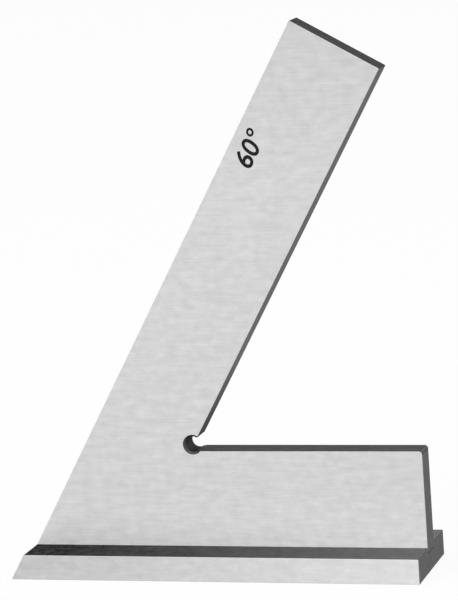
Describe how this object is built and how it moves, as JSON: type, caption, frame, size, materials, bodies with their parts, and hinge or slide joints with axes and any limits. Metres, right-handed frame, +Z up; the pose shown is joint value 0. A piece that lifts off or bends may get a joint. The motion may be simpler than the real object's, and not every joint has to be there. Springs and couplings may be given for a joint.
{
  "type": "mitre square",
  "caption": "V-shaped ground steel blade with a drilled relief at its inner corner, let into a flat stop bar, for checking and marking a mitre against an edge.",
  "frame": {"origin": "middle of the stop's underside, on the plane that the square stands on", "axes": "+X along the stop from the mitred end to the square end, +Y from the front face to the back face, +Z up from the stop to the blade's end"},
  "size_m": [0.1, 0.026, 0.1299],
  "materials": {
    "blade_steel": "fine ground",
    "stop_steel": "fine ground",
    "pin_steel": "hardened and ground flush"
  },
  "bodies": {
    "root": {"blade": "blade_steel", "stop_bar": "stop_steel", "dowel_pin_1": "pin_steel", "dowel_pin_2": "pin_steel", "dowel_pin_3": "pin_steel"}
  },
  "joints": []
}
